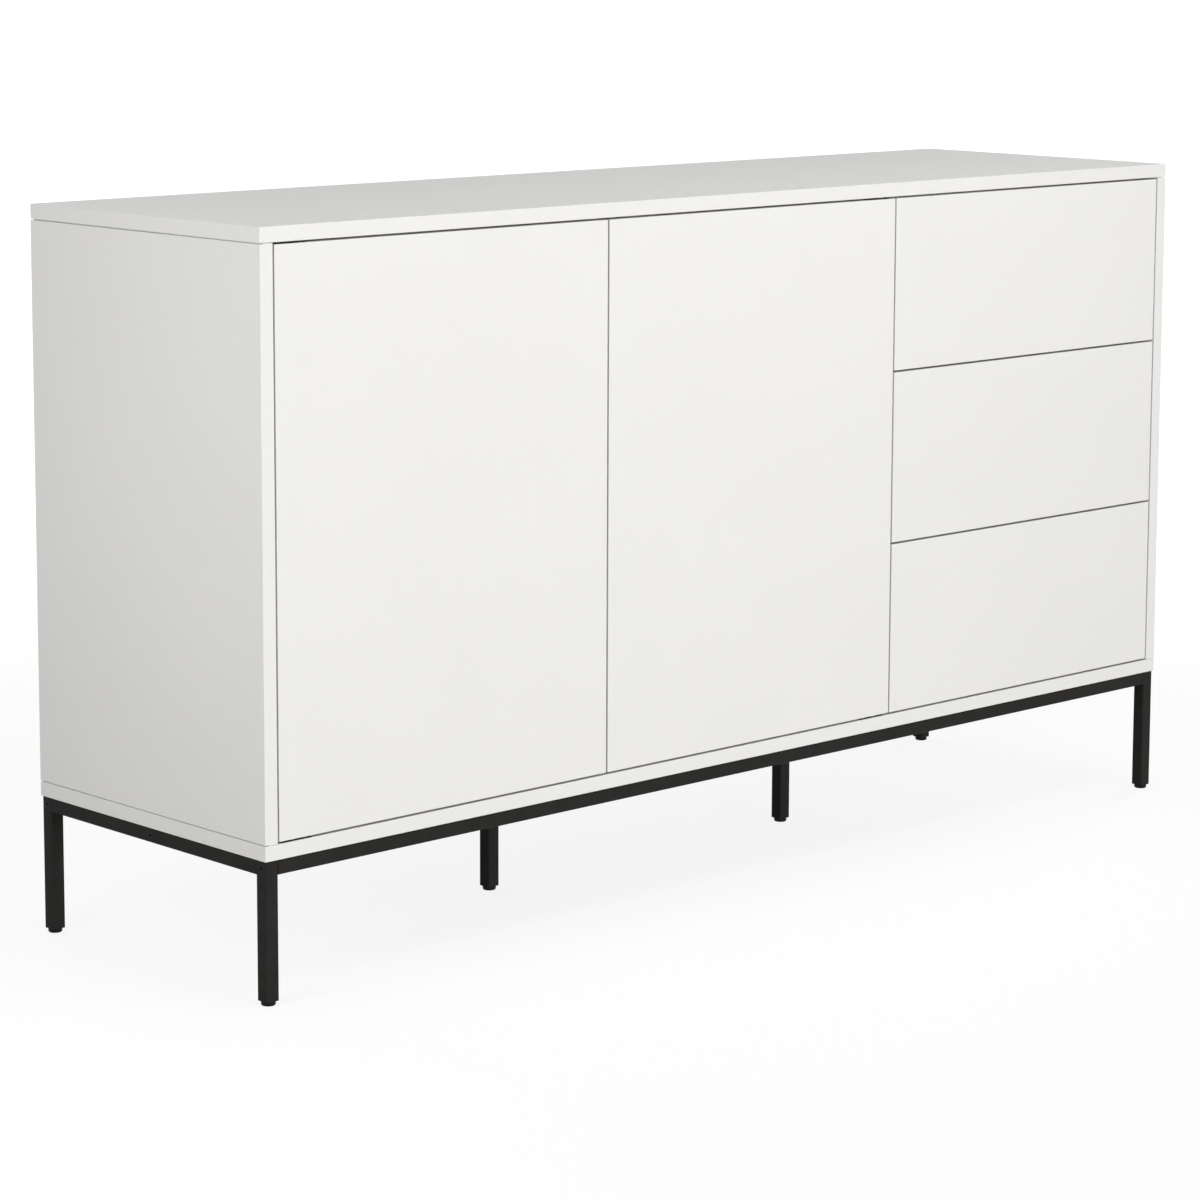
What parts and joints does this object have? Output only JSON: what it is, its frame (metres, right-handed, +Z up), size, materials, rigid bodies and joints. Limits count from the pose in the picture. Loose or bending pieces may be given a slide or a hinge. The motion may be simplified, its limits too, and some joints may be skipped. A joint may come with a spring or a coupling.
{
  "type": "sideboard",
  "caption": "Low rectangular white sideboard with handleless push-open doors and drawers set flush in its case, standing on a slim black square-tube base.",
  "frame": {"origin": "on the floor, below the middle of the case's width and depth", "axes": "+X to the right as seen from the front, +Y to the back, +Z up; the doors and drawer fronts face -Y"},
  "size_m": [1.6, 0.44, 0.89],
  "materials": {
    "white_board": "satin white lacquered board",
    "white_front": "satin white lacquered board",
    "drawer_board": "matt white faced board",
    "thin_board": "thin faced hardboard",
    "beech": "raw beech",
    "black_steel": "satin black powder coat",
    "glide_plastic": "black moulded plastic",
    "latch_plastic": "grey moulded plastic",
    "zinc_fittings": "zinc plated",
    "runner_steel": "zinc plated, rolled"
  },
  "bodies": {
    "case": {"top_panel": "white_board", "bottom_panel": "white_board", "left_side": "white_board", "right_side": "white_board", "centre_divider": "white_board", "drawer_divider": "white_board", "back_panels": "thin_board", "left_shelf": "white_board", "middle_shelf": "white_board", "shelf_pins": "zinc_fittings", "cam_locks": "zinc_fittings", "cam_bolts": "zinc_fittings", "dowels": "beech", "front_left_leg": "black_steel", "front_right_leg": "black_steel", "rear_left_leg": "black_steel", "rear_right_leg": "black_steel", "middle_legs": "black_steel", "front_rail": "black_steel", "rear_rail": "black_steel", "middle_rail": "black_steel", "left_rail": "black_steel", "right_rail": "black_steel", "frame_bolts": "black_steel", "glides": "glide_plastic", "mounting_tabs": "black_steel", "base_screws": "zinc_fittings", "case_pivot_plates": "black_steel", "pivot_pins": "black_steel", "case_screws": "zinc_fittings", "latch_housings": "latch_plastic", "outer_runners": "runner_steel"},
    "left_door": {"left_door": "white_front", "left_door_plates": "black_steel", "left_door_striker": "zinc_fittings", "left_door_screws": "zinc_fittings"},
    "middle_door": {"middle_door": "white_front", "middle_door_plates": "black_steel", "middle_door_striker": "zinc_fittings", "middle_door_screws": "zinc_fittings"},
    "left_plunger": {"left_plunger": "latch_plastic"},
    "middle_plunger": {"middle_plunger": "latch_plastic"},
    "top_drawer": {"top_drawer_front": "white_front", "top_drawer_sides": "drawer_board", "top_drawer_back": "drawer_board", "top_drawer_bottom": "thin_board", "top_drawer_runners": "runner_steel"},
    "middle_drawer": {"middle_drawer_front": "white_front", "middle_drawer_sides": "drawer_board", "middle_drawer_back": "drawer_board", "middle_drawer_bottom": "thin_board", "middle_drawer_runners": "runner_steel"},
    "bottom_drawer": {"bottom_drawer_front": "white_front", "bottom_drawer_sides": "drawer_board", "bottom_drawer_back": "drawer_board", "bottom_drawer_bottom": "thin_board", "bottom_drawer_runners": "runner_steel"},
    "top_runner_middles": {"top_middle_runners": "runner_steel"},
    "middle_runner_middles": {"middle_middle_runners": "runner_steel"},
    "bottom_runner_middles": {"bottom_middle_runners": "runner_steel"}
  },
  "joints": [
    {"name": "left_door_pivot", "type": "hinge", "parent": "case", "child": "left_door", "pos_m": [-0.7685, -0.213, 0.53], "axis": [0, 0, -1], "range_deg": [0, 90]},
    {"name": "middle_door_pivot", "type": "hinge", "parent": "case", "child": "middle_door", "pos_m": [0.23, -0.213, 0.53], "axis": [0, 0, 1], "range_deg": [0, 90]},
    {"name": "left_plunger_slide", "type": "slide", "parent": "case", "child": "left_plunger", "axis": [0, -1, 0], "range_m": [0, 0.014]},
    {"name": "middle_plunger_slide", "type": "slide", "parent": "case", "child": "middle_plunger", "axis": [0, -1, 0], "range_m": [0, 0.014]},
    {"name": "top_drawer_slide", "type": "slide", "parent": "case", "child": "top_drawer", "axis": [0, -1, 0], "range_m": [0, 0.38]},
    {"name": "top_runner_slide", "type": "slide", "parent": "case", "child": "top_runner_middles", "axis": [0, -1, 0], "range_m": [0, 0.19]},
    {"name": "middle_drawer_slide", "type": "slide", "parent": "case", "child": "middle_drawer", "axis": [0, -1, 0], "range_m": [0, 0.38]},
    {"name": "middle_runner_slide", "type": "slide", "parent": "case", "child": "middle_runner_middles", "axis": [0, -1, 0], "range_m": [0, 0.19]},
    {"name": "bottom_drawer_slide", "type": "slide", "parent": "case", "child": "bottom_drawer", "axis": [0, -1, 0], "range_m": [0, 0.38]},
    {"name": "bottom_runner_slide", "type": "slide", "parent": "case", "child": "bottom_runner_middles", "axis": [0, -1, 0], "range_m": [0, 0.19]}
  ],
  "couplings": [
    {"joint": "left_plunger_slide", "follows": "left_door_pivot", "m_per_rad": 0.0089},
    {"joint": "middle_plunger_slide", "follows": "middle_door_pivot", "m_per_rad": 0.0089},
    {"joint": "top_runner_slide", "follows": "top_drawer_slide", "ratio": 0.5},
    {"joint": "middle_runner_slide", "follows": "middle_drawer_slide", "ratio": 0.5},
    {"joint": "bottom_runner_slide", "follows": "bottom_drawer_slide", "ratio": 0.5}
  ]
}
